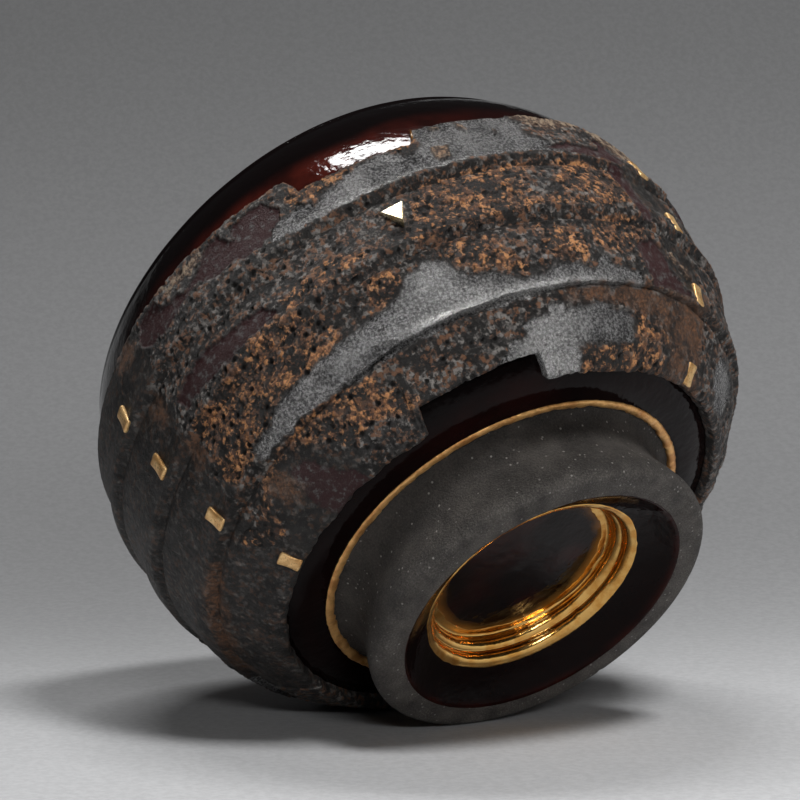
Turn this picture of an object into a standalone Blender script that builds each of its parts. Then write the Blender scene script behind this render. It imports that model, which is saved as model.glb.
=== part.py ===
# Hand-built tea bowl, one fired piece: a glazed body on a turned foot ring, wrapped in a thick
# crust of slip that lies round it in terraces. Metres, +Z up, standing on the foot.

import math

import bmesh
import bpy

# Foot ring
FOOT_RADIUS = 0.0336        # widest, just above the standing edge
FOOT_EDGE_ROUND = 0.0022    # radius of the outer standing edge
FOOT_FACE_WIDTH = 0.0034    # flat ring that meets the table
FOOT_WAIST_INSET = 0.0024   # how far the foot draws in below the bowl
FOOT_HEIGHT = 0.0163        # table to the clay underside
WAIST_SHARE = 0.66          # height of the narrowest place, as a share of the foot

# Well inside the foot
WELL_SLOPE_RUN = 0.0070     # glazed slope from the lip of the foot inwards
WELL_SLOPE_DEPTH = 0.0045
WELL_SLOPE_HOLLOW = 0.0005  # how far the slope sinks below a straight line
BEAD_COUNT = 2              # gold mouldings round the floor of the well
BEAD_RUN = 0.00125
BEAD_DEPTH = 0.0022
BEAD_BULGE = 0.0005
WELL_COVE = 0.0006          # small cove between the last bead and the floor

# Underside
GOLD_LINE_GAP = 0.0008      # foot's widest radius to the gold line
GOLD_LINE_WIDTH = 0.0012
GLAZE_ROLL = 0.0004         # thickness of the glaze where it ends at the gold line
GLAZE_FLAT = 0.0016         # level glaze from the gold line to where the wall starts to rise

# Body
BELLY_RADIUS = 0.0589       # glazed wall at its widest, without the crust
BELLY_RISE = 0.0389         # underside to the widest place
RIM_DRAW_IN = 0.0059        # how far the rim stands inside the belly
RIM_CURL = 3.1              # how late the wall turns in: 2 is a parabola
WALL = 0.0054               # glazed wall at the belly
LIP = 0.0038                # wall at the rim
FLOOR = 0.0076              # clay between the well and the inside
LEAN = 0.10                 # sideways drift of the body for each unit of height above the foot
LEAN_TOWARDS = 165.0        # degrees

# Crust
EDGE_RISE = 0.0010          # underside to the crust's lower edge
TERRACES = (0.0111, 0.0144, 0.0140, 0.0138)
RIM_BAND = 0.0128           # bare glaze above the crust, at mean height
CRUST_LIP = 0.0022          # crust at the overhanging foot of a terrace
CRUST_THIN = 0.0011         # crust at the top of a terrace
CRUST_UNEVEN = 0.00022      # slow swell of the crust round the bowl

# Height waves as (height, waves round the bowl, azimuth of a crest in degrees)
LEDGE_WAVES = (
    ((0.0005, 2, -15.0),),
    ((0.0009, 2, -5.0),),
    ((0.0004, 2, -60.0),),
)
TOP_WAVES = ((0.0008, 2, -35.0),)
RIM_WAVES = ((0.0032, 1, 17.4), (0.0024, 2, 18.5))

# Broken-out steps in the crust's two edges, as (from azimuth, to azimuth, change of height)
LOWER_STEPS = ((-16.0, 13.6, 0.0027), (117.0, 139.0, 0.0026))
UPPER_STEPS = ((-13.6, 10.1, -0.0041), (150.0, 171.0, -0.0030), (208.0, 221.0, -0.0018))

# Faceting
COLUMNS = 62
STEP_RAMP = 0.70            # half width of a step's end, in degrees
TERRACE_ROWS = (0.0, 0.3, 0.7, 1.0)

FINISHES = {
    "crust": ((0.070, 0.058, 0.052), 0.78, 0.0),
    "glaze": ((0.014, 0.006, 0.006), 0.10, 0.0),
    "clay": ((0.060, 0.056, 0.053), 0.82, 0.0),
    "gold": ((0.780, 0.480, 0.170), 0.22, 1.0),
}

underside = FOOT_HEIGHT - GLAZE_ROLL
belly_height = FOOT_HEIGHT + BELLY_RISE
edge_height = FOOT_HEIGHT + EDGE_RISE
top_height = edge_height + sum(TERRACES)
rim_height = top_height + RIM_BAND
lip_radius = FOOT_RADIUS - FOOT_EDGE_ROUND - FOOT_FACE_WIDTH
gold_line_inner = FOOT_RADIUS + GOLD_LINE_GAP
gold_line_outer = gold_line_inner + GOLD_LINE_WIDTH
corner_radius = gold_line_outer + GLAZE_FLAT
bead_radius = lip_radius - WELL_SLOPE_RUN
floor_radius = bead_radius - BEAD_COUNT * BEAD_RUN - WELL_COVE
well_depth = WELL_SLOPE_DEPTH + BEAD_COUNT * BEAD_DEPTH + WELL_COVE
inside_floor = well_depth + FLOOR


def waved(angle, mean, waves):
    return mean + sum(
        height * math.cos(count * (angle - math.radians(crest)))
        for height, count, crest in waves
    )


def step_at(angle, steps):
    # Full height between a step's two ends, with a short ramp at each.
    turn = math.degrees(angle)
    total = 0.0
    for start, end, height in steps:
        middle = 0.5 * (start + end)
        away = abs((turn - middle + 180.0) % 360.0 - 180.0)
        share = (0.5 * (end - start) + STEP_RAMP - away) / (2.0 * STEP_RAMP)
        total += height * min(1.0, max(0.0, share))
    return total


def edge_at(angle):
    return edge_height + step_at(angle, LOWER_STEPS)


def ledges_at(angle):
    heights = []
    height = edge_height
    for rise, waves in zip(TERRACES, LEDGE_WAVES):
        height += rise
        heights.append(waved(angle, height, waves))
    return heights


def top_at(angle):
    return waved(angle, top_height, TOP_WAVES) + step_at(angle, UPPER_STEPS)


def rim_at(angle):
    return waved(angle, rim_height, RIM_WAVES)


def glaze_radius(height):
    if height < belly_height:
        below = (belly_height - height) / (belly_height - underside)
        reach = math.sqrt(max(0.0, 1.0 - below * below))
        return corner_radius + (BELLY_RADIUS - corner_radius) * reach
    above = (height - belly_height) / (rim_height - belly_height)
    return BELLY_RADIUS - RIM_DRAW_IN * above ** RIM_CURL


def glaze_point(height, thickness=0.0):
    # A point of the glazed wall, or of the crust lying so thick over it.
    sample = 0.0002
    slope = (glaze_radius(height + sample) - glaze_radius(height - sample)) / (2.0 * sample)
    length = math.hypot(1.0, slope)
    return (
        glaze_radius(height) + thickness / length,
        height - thickness * slope / length,
    )


def crust_thickness(angle, share):
    swell = CRUST_UNEVEN * math.cos(5.0 * angle + 9.0 * share)
    return CRUST_THIN + (CRUST_LIP - CRUST_THIN) * (1.0 - share) ** 2 + swell


def wall_at(height):
    above = (height - belly_height) / (rim_height - belly_height)
    return WALL + (LIP - WALL) * max(0.0, above)


def well_rows():
    rows = [("glaze", 0.55 * floor_radius, well_depth), ("gold", floor_radius, well_depth)]
    length = math.hypot(BEAD_RUN, BEAD_DEPTH)
    for bead in reversed(range(BEAD_COUNT)):
        radius = bead_radius - (bead + 1) * BEAD_RUN
        depth = WELL_SLOPE_DEPTH + (bead + 1) * BEAD_DEPTH
        rows.append(("gold", radius, depth))
        rows.append((
            "gold",
            radius + 0.5 * BEAD_RUN - BEAD_BULGE * BEAD_DEPTH / length,
            depth - 0.5 * BEAD_DEPTH - BEAD_BULGE * BEAD_RUN / length,
        ))
    rows.append(("glaze", bead_radius, WELL_SLOPE_DEPTH))
    for share in (0.35, 0.75):
        hollow = WELL_SLOPE_HOLLOW * math.sin(math.pi * share)
        rows.append((
            "glaze",
            bead_radius + WELL_SLOPE_RUN * share,
            WELL_SLOPE_DEPTH * (1.0 - share) + hollow,
        ))
    rows.append(("clay", lip_radius, 0.0))
    return rows


def foot_rows():
    rows = []
    for turn in (0.0, 30.0, 60.0, 90.0):
        across = math.sin(math.radians(turn))
        down = math.cos(math.radians(turn))
        rows.append((
            "clay",
            FOOT_RADIUS - FOOT_EDGE_ROUND * (1.0 - across),
            FOOT_EDGE_ROUND * (1.0 - down),
        ))
    waist_radius = FOOT_RADIUS - FOOT_WAIST_INSET
    waist_height = FOOT_EDGE_ROUND + WAIST_SHARE * (FOOT_HEIGHT - FOOT_EDGE_ROUND)
    for share in (0.35, 0.7):
        ease = share * share * (3.0 - 2.0 * share)
        rows.append((
            "clay",
            FOOT_RADIUS - FOOT_WAIST_INSET * ease,
            FOOT_EDGE_ROUND + (waist_height - FOOT_EDGE_ROUND) * share,
        ))
    for turn in (0.0, 30.0, 60.0):
        rows.append((
            "clay",
            gold_line_inner - (gold_line_inner - waist_radius) * math.cos(math.radians(turn)),
            waist_height + (FOOT_HEIGHT - waist_height) * math.sin(math.radians(turn)),
        ))
    rows.append(("gold", gold_line_inner, FOOT_HEIGHT))
    rows.append(("glaze", gold_line_outer, FOOT_HEIGHT))
    return rows


def glaze_band_rows(angle):
    # From the corner of the underside out to the foot of the crust's lower edge.
    span = belly_height - underside
    reach = math.acos((belly_height - edge_at(angle)) / span)
    rows = []
    for share in (0.0, 0.35, 0.7):
        turn = reach * share
        radius = corner_radius + (BELLY_RADIUS - corner_radius) * math.sin(turn)
        rows.append(("glaze", radius, belly_height - span * math.cos(turn)))
    rows.append(("crust", *glaze_point(edge_at(angle))))
    return rows


def crust_rows(angle):
    rows = []
    levels = [edge_at(angle), *ledges_at(angle), top_at(angle)]
    for low, high in zip(levels, levels[1:]):
        for share in TERRACE_ROWS:
            thickness = crust_thickness(angle, share)
            rows.append(("crust", *glaze_point(low + (high - low) * share, thickness)))
    rows.append(("glaze", *glaze_point(top_at(angle))))
    return rows


def rim_rows(angle):
    start = top_at(angle)
    shoulder = rim_at(angle) - 0.5 * LIP
    rows = [("glaze", *glaze_point(start + (shoulder - start) * share)) for share in (0.5, 1.0)]
    middle = glaze_radius(shoulder) - 0.5 * LIP
    for turn in (45.0, 90.0, 135.0):
        rows.append((
            "glaze",
            middle + 0.5 * LIP * math.cos(math.radians(turn)),
            shoulder + 0.5 * LIP * math.sin(math.radians(turn)),
        ))
    rows.append(("glaze", glaze_radius(shoulder) - LIP, shoulder))
    return rows


def inside_rows(angle):
    shoulder = rim_at(angle) - 0.5 * LIP
    rows = []
    for share in (0.3, 0.65):
        height = shoulder + (belly_height - shoulder) * share
        rows.append(("glaze", glaze_radius(height) - wall_at(height), height))
    radius = BELLY_RADIUS - WALL
    depth = belly_height - inside_floor
    for turn in (90.0, 72.0, 55.0, 39.0, 24.0, 11.0):
        rows.append((
            "glaze",
            radius * math.sin(math.radians(turn)),
            belly_height - depth * math.cos(math.radians(turn)),
        ))
    return rows


def profile_at(angle):
    return (
        well_rows() + foot_rows() + glaze_band_rows(angle)
        + crust_rows(angle) + rim_rows(angle) + inside_rows(angle)
    )


def column_angles():
    # Even columns, and a close pair at each end of a step so that it breaks off sharply.
    ends = []
    for start, end, _ in LOWER_STEPS + UPPER_STEPS:
        ends += [start - STEP_RAMP, start + STEP_RAMP, end - STEP_RAMP, end + STEP_RAMP]
    ends = sorted(value % 360.0 for value in ends)
    angles = list(ends)
    for column in range(COLUMNS):
        value = 360.0 * column / COLUMNS
        if all(abs((value - end + 180.0) % 360.0 - 180.0) > 2.0 * STEP_RAMP for end in ends):
            angles.append(value)
    return [math.radians(value) for value in sorted(angles)]


def drift(height):
    # The body leans off the foot; everything up to the underside stays round the foot's axis.
    away = LEAN * max(0.0, height - FOOT_HEIGHT)
    turn = math.radians(LEAN_TOWARDS)
    return away * math.cos(turn), away * math.sin(turn)


def place(mesh, angle, radius, height):
    shift_x, shift_y = drift(height)
    return mesh.verts.new((
        shift_x + radius * math.cos(angle),
        shift_y + radius * math.sin(angle),
        height,
    ))


def add_face(mesh, corners, slot):
    face = mesh.faces.new(corners)
    face.material_index = slot
    face.smooth = True


def bowl_mesh():
    mesh = bmesh.new()
    slots = list(FINISHES)
    angles = column_angles()
    profiles = [profile_at(angle) for angle in angles]
    rings = []
    for row in range(len(profiles[0])):
        rings.append([
            place(mesh, angle, profile[row][1], profile[row][2])
            for angle, profile in zip(angles, profiles)
        ])
    well_centre = place(mesh, 0.0, 0.0, well_depth)
    inside_centre = place(mesh, 0.0, 0.0, inside_floor)
    count = len(angles)
    for column in range(count):
        after = (column + 1) % count
        add_face(mesh, (well_centre, rings[0][column], rings[0][after]), slots.index("glaze"))
        for row in range(len(rings) - 1):
            slot = slots.index(profiles[column][row][0])
            low, high = rings[row], rings[row + 1]
            add_face(mesh, (low[column], high[column], high[after], low[after]), slot)
        add_face(mesh, (rings[-1][column], inside_centre, rings[-1][after]), slots.index("glaze"))
    bmesh.ops.triangulate(mesh, faces=mesh.faces[:])
    bmesh.ops.recalc_face_normals(mesh, faces=mesh.faces[:])
    centre_on_origin(mesh)
    data = bpy.data.meshes.new("tea_bowl")
    mesh.to_mesh(data)
    mesh.free()
    return data


def centre_on_origin(mesh):
    # The origin is under the middle of the whole bowl, at table height.
    across = [vert.co.x for vert in mesh.verts]
    along = [vert.co.y for vert in mesh.verts]
    shift = (-0.5 * (min(across) + max(across)), -0.5 * (min(along) + max(along)), 0.0)
    bmesh.ops.translate(mesh, verts=mesh.verts[:], vec=shift)


def finish_material(name):
    colour, roughness, metallic = FINISHES[name]
    material = bpy.data.materials.new(name)
    material.use_nodes = True
    shader = material.node_tree.nodes["Principled BSDF"]
    shader.inputs["Base Color"].default_value = (*colour, 1.0)
    shader.inputs["Roughness"].default_value = roughness
    shader.inputs["Metallic"].default_value = metallic
    return material


def main():
    for item in list(bpy.data.objects):
        bpy.data.objects.remove(item)
    data = bowl_mesh()
    for name in FINISHES:
        data.materials.append(finish_material(name))
    data.set_sharp_from_angle(angle=math.radians(40.0))
    bowl = bpy.data.objects.new("tea_bowl", data)
    bpy.context.scene.collection.objects.link(bowl)


main()
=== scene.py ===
import math

import bpy
import numpy as np
from mathutils import Matrix, Vector


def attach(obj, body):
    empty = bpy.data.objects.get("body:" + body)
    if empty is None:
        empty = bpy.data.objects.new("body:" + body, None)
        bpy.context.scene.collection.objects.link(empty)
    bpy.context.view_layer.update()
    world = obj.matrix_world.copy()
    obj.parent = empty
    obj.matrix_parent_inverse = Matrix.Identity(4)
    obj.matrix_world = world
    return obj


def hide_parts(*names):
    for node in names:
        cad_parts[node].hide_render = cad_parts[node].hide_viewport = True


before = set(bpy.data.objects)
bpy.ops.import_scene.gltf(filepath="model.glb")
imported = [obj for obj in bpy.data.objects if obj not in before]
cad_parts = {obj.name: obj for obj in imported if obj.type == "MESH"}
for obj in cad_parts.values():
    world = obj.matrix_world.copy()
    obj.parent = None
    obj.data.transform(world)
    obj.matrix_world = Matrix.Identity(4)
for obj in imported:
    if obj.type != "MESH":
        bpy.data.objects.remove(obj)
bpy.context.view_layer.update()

# A hand-built tea bowl, seen tipped on its side: glazed body, foot ring with a gold-lined well,
# and a crust of slip in four terraces. Sizes below are millimetres unless a note says otherwise.
mm = 0.001

bowl = {
    "footAxis": (3.69, -1.07),      # where the foot's axis meets the table
    "footRadius": 33.6,
    "footEdgeRound": 2.2,
    "footFace": 3.4,
    "footWaist": 2.4,
    "footHeight": 16.3,
    "waistShare": 0.66,
    "underside": 15.9,
    "cornerRadius": 37.2,
    "bellyRadius": 58.9,
    "bellyHeight": 55.2,
    "rimHeight": 83.4,
    "rimDrawIn": 5.9,
    "rimCurl": 3.1,
    "wall": 5.4,
    "lip": 3.8,
    "insideFloor": 17.1,
    "lean": 0.10,                   # sideways drift for each unit of height
    "leanTowards": 165.0,           # degrees
    "rimWaves": ((3.2, 1, 17.4), (2.4, 2, 18.5)),
}


def waved(turn, mean, waves):
    total = np.full_like(turn, mean)
    for height, count, crest in waves:
        total += height * np.cos(count * np.radians(turn - crest))
    return total


def smooth(low, high, value):
    share = np.clip((value - low) / (high - low), 0.0, 1.0)
    return share * share * (3.0 - 2.0 * share)


def wallRadius(height):
    belly, under = bowl["bellyHeight"], bowl["underside"]
    below = np.clip((belly - height) / (belly - under), 0.0, 1.0)
    above = np.clip((height - belly) / (bowl["rimHeight"] - belly), 0.0, None)
    low = bowl["cornerRadius"] + (bowl["bellyRadius"] - bowl["cornerRadius"]) * np.sqrt(1.0 - below ** 2)
    return np.where(height < belly, low, bowl["bellyRadius"] - bowl["rimDrawIn"] * above ** bowl["rimCurl"])


def offsetWall(height, thickness):
    # radius and height of a point so far out from the glazed wall
    slope = (wallRadius(height + 0.2) - wallRadius(height - 0.2)) / 0.4
    length = np.hypot(1.0, slope)
    return wallRadius(height) + thickness / length, height - thickness * slope / length


def wallThickness(height):
    above = np.clip((height - bowl["bellyHeight"]) / (bowl["rimHeight"] - bowl["bellyHeight"]), 0.0, None)
    return bowl["wall"] + (bowl["lip"] - bowl["wall"]) * above


def placed(turn, radius, height):
    # the body leans off the foot; what is lower stays round the foot's axis
    away = bowl["lean"] * np.maximum(0.0, height - bowl["footHeight"])
    lean = math.radians(bowl["leanTowards"])
    angle = np.radians(turn)
    return np.stack([
        bowl["footAxis"][0] + away * math.cos(lean) + radius * np.cos(angle),
        bowl["footAxis"][1] + away * math.sin(lean) + radius * np.sin(angle),
        height + 0.0 * radius,
    ], axis=-1)


def turns(count):
    return np.arange(count) * 360.0 / count


def lathed(turn, profile):
    # a profile of (radius, height) turned round the foot's axis
    profile = np.array(profile)
    return placed(turn[None, :] + 0.0 * profile[:, :1], profile[:, :1] + 0.0 * turn, profile[:, 1:] + 0.0 * turn)


def outwardOf(points, middle):
    outward = points - np.array([*middle, 0.0])
    outward[..., 2] = 0.0
    return outward / np.linalg.norm(outward, axis=-1, keepdims=True)


def awayFrom(turn, middle):
    # degrees round the bowl, either way
    return np.abs((turn - middle + 180.0) % 360.0 - 180.0)


def lumps(points, size, seed):
    # smooth lattice noise from -1 to 1, lumps of this size in mm
    spot = points / size + 17.0 * seed
    cell = np.floor(spot).astype(np.int64)
    part = spot - cell
    part = part * part * (3.0 - 2.0 * part)
    total = 0.0
    for corner in range(8):
        step = np.array([corner & 1, (corner >> 1) & 1, (corner >> 2) & 1])
        key = (cell + step) @ np.array([374761393, 668265263, 1274126177]) + seed * 7919
        key = (key ^ (key >> 13)) * 1103515245 & 0x7FFFFFFF
        key = (key ^ (key >> 15)) * 12345 & 0x7FFFFFFF
        value = (key & 0xFFFF) / 32767.5 - 1.0
        weight = np.prod(np.where(step == 1, part, 1.0 - part), axis=-1)
        total = total + value * weight
    return total


# meshes from rings of points

def ringMesh(name, points, startPole=None, endPole=None, closed=False, fields=None):
    # points[row, column]: columns run round the bowl, rows up its outside, so faces point outwards
    rows, columns = points.shape[:2]
    verts = points.reshape(-1, 3)
    here = np.arange(columns)
    after = (here + 1) % columns
    quads = []
    for row in range(rows if closed else rows - 1):
        low, high = row * columns, ((row + 1) % rows) * columns
        quads.append(np.stack([low + here, low + after, high + after, high + here], axis=-1))
    loops = np.concatenate(quads).reshape(-1)
    starts = np.arange(len(loops) // 4) * 4
    if startPole is not None:
        count, top = len(verts), (rows - 1) * columns
        tris = np.concatenate([np.stack([np.full(columns, count), after, here], axis=-1),
                               np.stack([np.full(columns, count + 1), top + here, top + after], axis=-1)])
        verts = np.concatenate([verts, np.array([startPole, endPole], dtype=float)])
        starts = np.concatenate([starts, len(loops) + np.arange(len(tris)) * 3])
        loops = np.concatenate([loops, tris.reshape(-1)])
    mesh = bpy.data.meshes.new(name)
    mesh.vertices.add(len(verts))
    mesh.vertices.foreach_set("co", (verts * mm).astype(np.float32).reshape(-1))
    mesh.loops.add(len(loops))
    mesh.loops.foreach_set("vertex_index", loops.astype(np.int32))
    mesh.polygons.add(len(starts))
    mesh.polygons.foreach_set("loop_start", starts.astype(np.int32))
    mesh.update(calc_edges=True)
    mesh.polygons.foreach_set("use_smooth", np.ones(len(starts), dtype=bool))
    for field, values in (fields or {}).items():
        values = np.asarray(values, dtype=np.float32).reshape(-1)
        values = np.concatenate([values, np.zeros(len(verts) - len(values), dtype=np.float32)])
        mesh.attributes.new(field, "FLOAT", "POINT").data.foreach_set("value", values)
    mesh.validate()
    return mesh


def newPiece(name, mesh, material=None):
    piece = bpy.data.objects.new(name, mesh)
    bpy.context.scene.collection.objects.link(piece)
    if material is not None:
        mesh.materials.clear()
        mesh.materials.append(material)
    return piece


def settle(piece):
    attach(piece, "root")
    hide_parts("tea_bowl")
    print("piece", piece.name, len(piece.data.polygons), "faces")


# node helpers, for materials and geometry alike

def put(tree, kind, sockets=None, **settings):
    node = tree.nodes.new(kind)
    for key, value in settings.items():
        setattr(node, key, value)
    for key, value in (sockets or {}).items():
        if isinstance(value, bpy.types.NodeSocket):
            tree.links.new(value, node.inputs[key])
        else:
            node.inputs[key].default_value = value
    return node


def maths(tree, operation, first, second, clamp=False):
    node = put(tree, "ShaderNodeMath", {0: first, 1: second}, operation=operation)
    node.use_clamp = clamp
    return node.outputs[0]


def times(tree, first, second, clamp=False):
    return maths(tree, "MULTIPLY", first, second, clamp)


def minus(tree, first, second, clamp=False):
    return maths(tree, "SUBTRACT", first, second, clamp)


def weighed(tree, *terms, clamp=False):
    # the sum of some values, where a pair is a value and its weight
    parts = [times(tree, *term) if isinstance(term, tuple) else term for term in terms]
    total = parts[0]
    for number, part in enumerate(parts[1:], 2):
        total = maths(tree, "ADD", total, part, clamp and number == len(parts))
    return total


def ranged(tree, value, fromLow, fromHigh, toLow=0.0, toHigh=1.0):
    node = put(tree, "ShaderNodeMapRange", {"Value": value, "From Min": fromLow, "From Max": fromHigh,
                                            "To Min": toLow, "To Max": toHigh}, interpolation_type="SMOOTHSTEP")
    return node.outputs["Result"]


def blended(tree, share, first, second):
    node = put(tree, "ShaderNodeMix", data_type="RGBA")
    for socket, value in ((0, share), (6, first), (7, second)):
        if isinstance(value, bpy.types.NodeSocket):
            tree.links.new(value, node.inputs[socket])
        else:
            node.inputs[socket].default_value = (*value, 1.0)
    return node.outputs[2]


def noiseAt(tree, place, size, detail=2.0, rough=0.5):
    # size is in metres here, as the shader and the geometry see it
    return put(tree, "ShaderNodeTexNoise", {"Vector": place, "Scale": 1.0 / size, "Detail": detail,
                                            "Roughness": rough}).outputs[0]


def cellsAt(tree, place, size):
    # each cell's distance from its middle, and three tones of its own
    cells = put(tree, "ShaderNodeTexVoronoi", {"Vector": place, "Scale": 1.0 / size})
    tones = put(tree, "ShaderNodeSeparateColor", {"Color": cells.outputs["Color"]}).outputs
    return cells.outputs["Distance"], *tones


def startMaterial(name, roughness, metallic=0.0):
    material = bpy.data.materials.new(name)
    material.use_nodes = True
    tree = material.node_tree
    shader = tree.nodes["Principled BSDF"]
    shader.inputs["Roughness"].default_value = roughness
    shader.inputs["Metallic"].default_value = metallic
    place = put(tree, "ShaderNodeTexCoord").outputs["Object"]
    return material, tree, shader, place


def bumped(tree, shader, height, distance, strength=1.0):
    node = put(tree, "ShaderNodeBump", {"Height": height, "Distance": distance, "Strength": strength})
    tree.links.new(node.outputs["Normal"], shader.inputs["Normal"])


def fieldsOf(tree, *names):
    return [put(tree, "ShaderNodeAttribute", attribute_name=name, attribute_type="GEOMETRY").outputs["Fac"]
            for name in names]


# finishes
crustFinish = {
    "charDark": (0.0100, 0.0095, 0.0092), "charLight": (0.034, 0.0315, 0.030),
    # the pit colour is painted shade, for the hollows between crumbs and for shadow lines along patch edges
    "pit": (0.0100, 0.0078, 0.0065), "crumbLow": (0.040, 0.035, 0.032), "crumbTop": (0.400, 0.370, 0.340),
    "rustDeep": (0.105, 0.052, 0.032), "rustMid": (0.300, 0.128, 0.055), "rustTop": (0.860, 0.400, 0.155),
    # the sheen colour is a painted highlight on the silvery slip
    "silverDark": (0.036, 0.035, 0.036), "silverLight": (0.410, 0.402, 0.397), "paintedSheen": (0.80, 0.79, 0.77),
    "oxblood": (0.042, 0.0130, 0.0135), "fleck": (0.115, 0.108, 0.105),
    "brown": (0.100, 0.050, 0.027), "tan": (0.46, 0.34, 0.23), "roughness": 0.72, "bump": 0.0012,
}


def crustMaterial():
    c = crustFinish
    material, tree, shader, place = startMaterial("slip_crust", c["roughness"])
    crumb, rust, silver, oxblood, brown, tan, crumble, paintedEdgeShadow, paintedHighlightArea = fieldsOf(
        tree, "crumbHeight", "rust", "silver", "oxblood", "brown", "tan", "crumble", "paintedEdgeShadow", "bright")
    broad = noiseAt(tree, place, 0.0052, 4.0, 0.6)
    clumps = noiseAt(tree, place, 0.0014, 4.0, 0.64)
    grains = noiseAt(tree, place, 0.00050, 5.0, 0.68)
    dust = noiseAt(tree, place, 0.00017, 2.0, 0.7)
    flakeTones = cellsAt(tree, place, 0.00085)[1:]
    evenGrains = minus(tree, grains, 0.5)
    height = ranged(tree, weighed(tree, crumb, (evenGrains, 1.5)), 0.24, 0.62)
    # smooth dark slip
    char = blended(tree, ranged(tree, broad, 0.35, 0.68), c["charDark"], c["charLight"])
    char = blended(tree, ranged(tree, clumps, 0.55, 0.80, 0.0, 0.45), char, c["crumbTop"])
    # grey crumbs, here and there a brown one
    paler = ranged(tree, weighed(tree, clumps, (flakeTones[0], 0.35)), 0.50, 0.90)
    browner = ranged(tree, weighed(tree, flakeTones[1], (clumps, 0.9)), 0.98, 1.16, 0.0, 0.85)
    grey = blended(tree, browner, blended(tree, paler, c["crumbLow"], c["crumbTop"]), c["rustMid"])
    # where the crumbs lie low they take the pit colour: painted shade in their hollows
    colour = blended(tree, crumble, char, blended(tree, height, c["pit"], grey))
    # rust
    rustTone = weighed(tree, (clumps, 0.9), (flakeTones[2], 0.55))
    rustHue = blended(tree, ranged(tree, rustTone, 0.46, 0.74), c["rustDeep"], c["rustMid"])
    rustHue = blended(tree, ranged(tree, weighed(tree, rustTone, (evenGrains, 1.1)), 0.70, 1.02),
                      rustHue, c["rustTop"])
    rustHere = times(tree, rust, ranged(tree, weighed(tree, broad, (flakeTones[0], 0.30)), 0.42, 0.66, 0.10, 1.0),
                     clamp=True)
    # the rust's low places take the pit colour too: painted shade
    colour = blended(tree, rustHere, colour, blended(tree, height, c["pit"], rustHue))
    # brown stains and tan flakes
    brownHere = times(tree, brown, ranged(tree, weighed(tree, (broad, 0.6), (clumps, 0.5)), 0.42, 0.66, 0.05, 0.9))
    brownHue = blended(tree, ranged(tree, grains, 0.4, 0.7), c["brown"], c["rustMid"])
    colour = blended(tree, brownHere, colour, brownHue)
    tanHere = times(tree, tan, ranged(tree, grains, 0.34, 0.56))
    # the tan flakes' low places go deep rust brown: painted shade
    colour = blended(tree, tanHere, colour, blended(tree, height, c["rustDeep"], c["tan"]))
    # silvery slip, with a highlight painted on it by the ledges, where it is also a little less rough
    silverTone = ranged(tree, weighed(tree, (grains, 0.9), (broad, 0.6)), 0.56, 0.92)
    bright = times(tree, paintedHighlightArea, ranged(tree, weighed(tree, dust, (grains, 0.8)), 0.72, 1.02))
    silvery = blended(tree, bright, blended(tree, silverTone, c["silverDark"], c["silverLight"]), c["paintedSheen"])
    colour = blended(tree, silver, colour, silvery)
    # smooth oxblood places, and a painted shadow line round the silver, oxblood and chip patches
    flecks = ranged(tree, weighed(tree, (clumps, 0.9), (grains, 0.5)), 0.72, 0.86)
    colour = blended(tree, oxblood, colour, blended(tree, flecks, c["oxblood"], c["fleck"]))
    edgeShadowShare = times(tree, paintedEdgeShadow, ranged(tree, clumps, 0.40, 0.56, 0.15, 0.9))
    colour = blended(tree, edgeShadowShare, colour, c["pit"])
    silverGloss = times(tree, silver, ranged(tree, dust, 0.3, 0.7, 0.16, 0.34))
    rough = weighed(tree, minus(tree, ranged(tree, grains, 0.3, 0.7, 0.40, 0.62), silverGloss),
                    (oxblood, -0.12), (bright, -0.10))
    tree.links.new(colour, shader.inputs["Base Color"])
    tree.links.new(rough, shader.inputs["Roughness"])
    tree.links.new(times(tree, silver, 0.6), shader.inputs["Metallic"])
    tree.links.new(weighed(tree, 0.28, (crumble, 0.35), (silver, 0.60)), shader.inputs["Specular IOR Level"])
    grit = weighed(tree, (grains, 0.65), (dust, 0.35))
    lively = weighed(tree, 0.30, (crumble, 0.70), (silver, 0.40))
    bumped(tree, shader, times(tree, grit, lively), c["bump"])
    return material


glazeFinish = {
    "black": (0.0035, 0.0018, 0.0018), "oxblood": (0.080, 0.0120, 0.0075), "amber": (0.30, 0.125, 0.022),
    "roughness": 0.075, "shine": 0.45, "bump": 0.00016,
}


def glazeMaterial():
    g = glazeFinish
    material, tree, shader, place = startMaterial("oxblood_glaze", g["roughness"])
    red, amber, dull = fieldsOf(tree, "red", "amber", "dull")
    broad = noiseAt(tree, place, 0.009, 3.0, 0.55)
    redHere = times(tree, red, ranged(tree, broad, 0.32, 0.62, 0.35, 1.0))
    amberHere = times(tree, amber, ranged(tree, broad, 0.25, 0.60, 0.5, 1.0))
    colour = blended(tree, amberHere, blended(tree, redHere, g["black"], g["oxblood"]), g["amber"])
    tree.links.new(colour, shader.inputs["Base Color"])
    tree.links.new(weighed(tree, g["shine"], (dull, -0.36)), shader.inputs["Specular IOR Level"])
    peel = weighed(tree, noiseAt(tree, place, 0.0035), (noiseAt(tree, place, 0.0011, 3.0), 0.35))
    bumped(tree, shader, peel, g["bump"], 0.9)
    return material


clayFinish = {
    "dark": (0.026, 0.0225, 0.020), "light": (0.165, 0.146, 0.130), "grit": (0.46, 0.43, 0.40),
    "worn": (0.42, 0.385, 0.345), "roughness": 0.66, "bump": 0.0011,
}


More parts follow.
